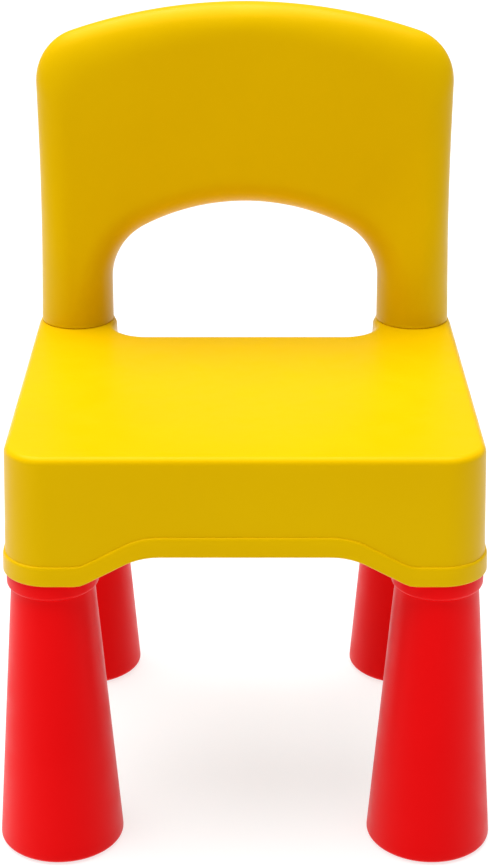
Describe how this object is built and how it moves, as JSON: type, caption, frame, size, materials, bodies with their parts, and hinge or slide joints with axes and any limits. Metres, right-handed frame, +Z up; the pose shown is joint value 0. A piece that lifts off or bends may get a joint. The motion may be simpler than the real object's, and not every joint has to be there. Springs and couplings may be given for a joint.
{
  "type": "child's chair",
  "caption": "Small moulded plastic chair for a young child: box-like seat with an arched apron, rounded open backrest and tapered legs that push in.",
  "frame": {"origin": "on the floor, under the middle of the four legs", "axes": "+X to the sitter's left, seen from the front as the viewer's right; the chair's front faces -Y; +Z up"},
  "size_m": [0.2724, 0.266, 0.4254],
  "materials": {
    "yellow_plastic": "warm yellow polypropylene with a soft moulded gloss",
    "red_plastic": "bright red polypropylene with a soft moulded gloss",
    "dark_rubber": "dark grey soft rubber"
  },
  "bodies": {
    "seat": {"seat_shell": "yellow_plastic"},
    "backrest": {"backrest": "yellow_plastic"},
    "front_left_leg": {"leg_front_left": "red_plastic", "foot_plug_front_left": "dark_rubber"},
    "front_right_leg": {"leg_front_right": "red_plastic", "foot_plug_front_right": "dark_rubber"},
    "rear_left_leg": {"leg_rear_left": "red_plastic", "foot_plug_rear_left": "dark_rubber"},
    "rear_right_leg": {"leg_rear_right": "red_plastic", "foot_plug_rear_right": "dark_rubber"}
  },
  "joints": [
    {"name": "backrest_lift", "type": "slide", "parent": "seat", "child": "backrest", "axis": [0, 0, 1], "range_m": [0, 0.0395]},
    {"name": "front_left_leg_twist", "type": "hinge", "parent": "seat", "child": "front_left_leg", "pos_m": [-0.1022, -0.099, 0.165], "axis": [0, 0, 1], "range_deg": [-60, 0]},
    {"name": "front_right_leg_twist", "type": "hinge", "parent": "seat", "child": "front_right_leg", "pos_m": [0.1022, -0.099, 0.165], "axis": [0, 0, 1], "range_deg": [-60, 0]},
    {"name": "rear_left_leg_twist", "type": "hinge", "parent": "seat", "child": "rear_left_leg", "pos_m": [-0.1022, 0.099, 0.165], "axis": [0, 0, 1], "range_deg": [-60, 0]},
    {"name": "rear_right_leg_twist", "type": "hinge", "parent": "seat", "child": "rear_right_leg", "pos_m": [0.1022, 0.099, 0.165], "axis": [0, 0, 1], "range_deg": [-60, 0]}
  ]
}
